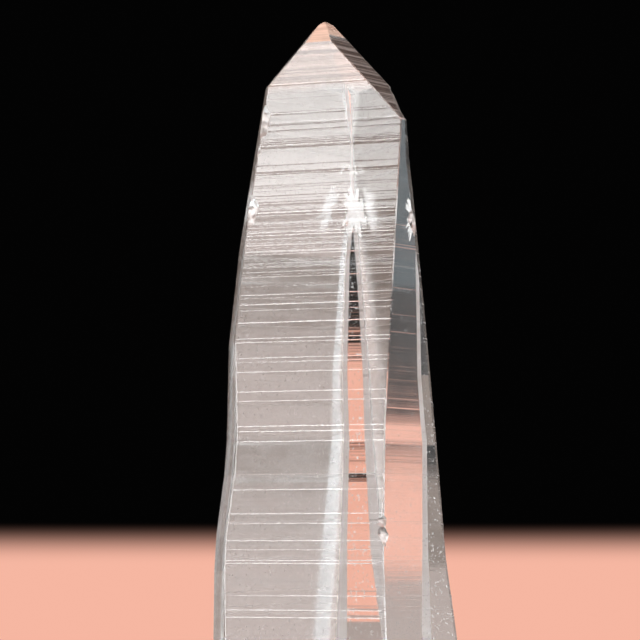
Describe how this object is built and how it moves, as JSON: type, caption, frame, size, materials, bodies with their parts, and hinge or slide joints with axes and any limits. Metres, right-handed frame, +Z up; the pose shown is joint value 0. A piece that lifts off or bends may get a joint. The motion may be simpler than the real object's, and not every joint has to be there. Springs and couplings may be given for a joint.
{
  "type": "lemurian quartz crystal",
  "caption": "Clear quartz point with fine horizontal ladder ledges across its prism faces, a tapering six-sided body, a worn slanting tip and a flat cut root end to stand on.",
  "frame": {"origin": "middle of the crystal's outline on the flat cut root, on the surface that it rests on", "axes": "+Z up along the growth axis to the tip; -Y out of the broad front face with the clearest ladders; +X towards the smooth right-hand prism face"},
  "size_m": [0.021, 0.0208, 0.0722],
  "materials": {
    "quartz": "clear with a faint warm tint, frosted by fine growth ledges, with white bruises along the edges"
  },
  "bodies": {
    "root": {"crystal": "quartz"}
  },
  "joints": []
}
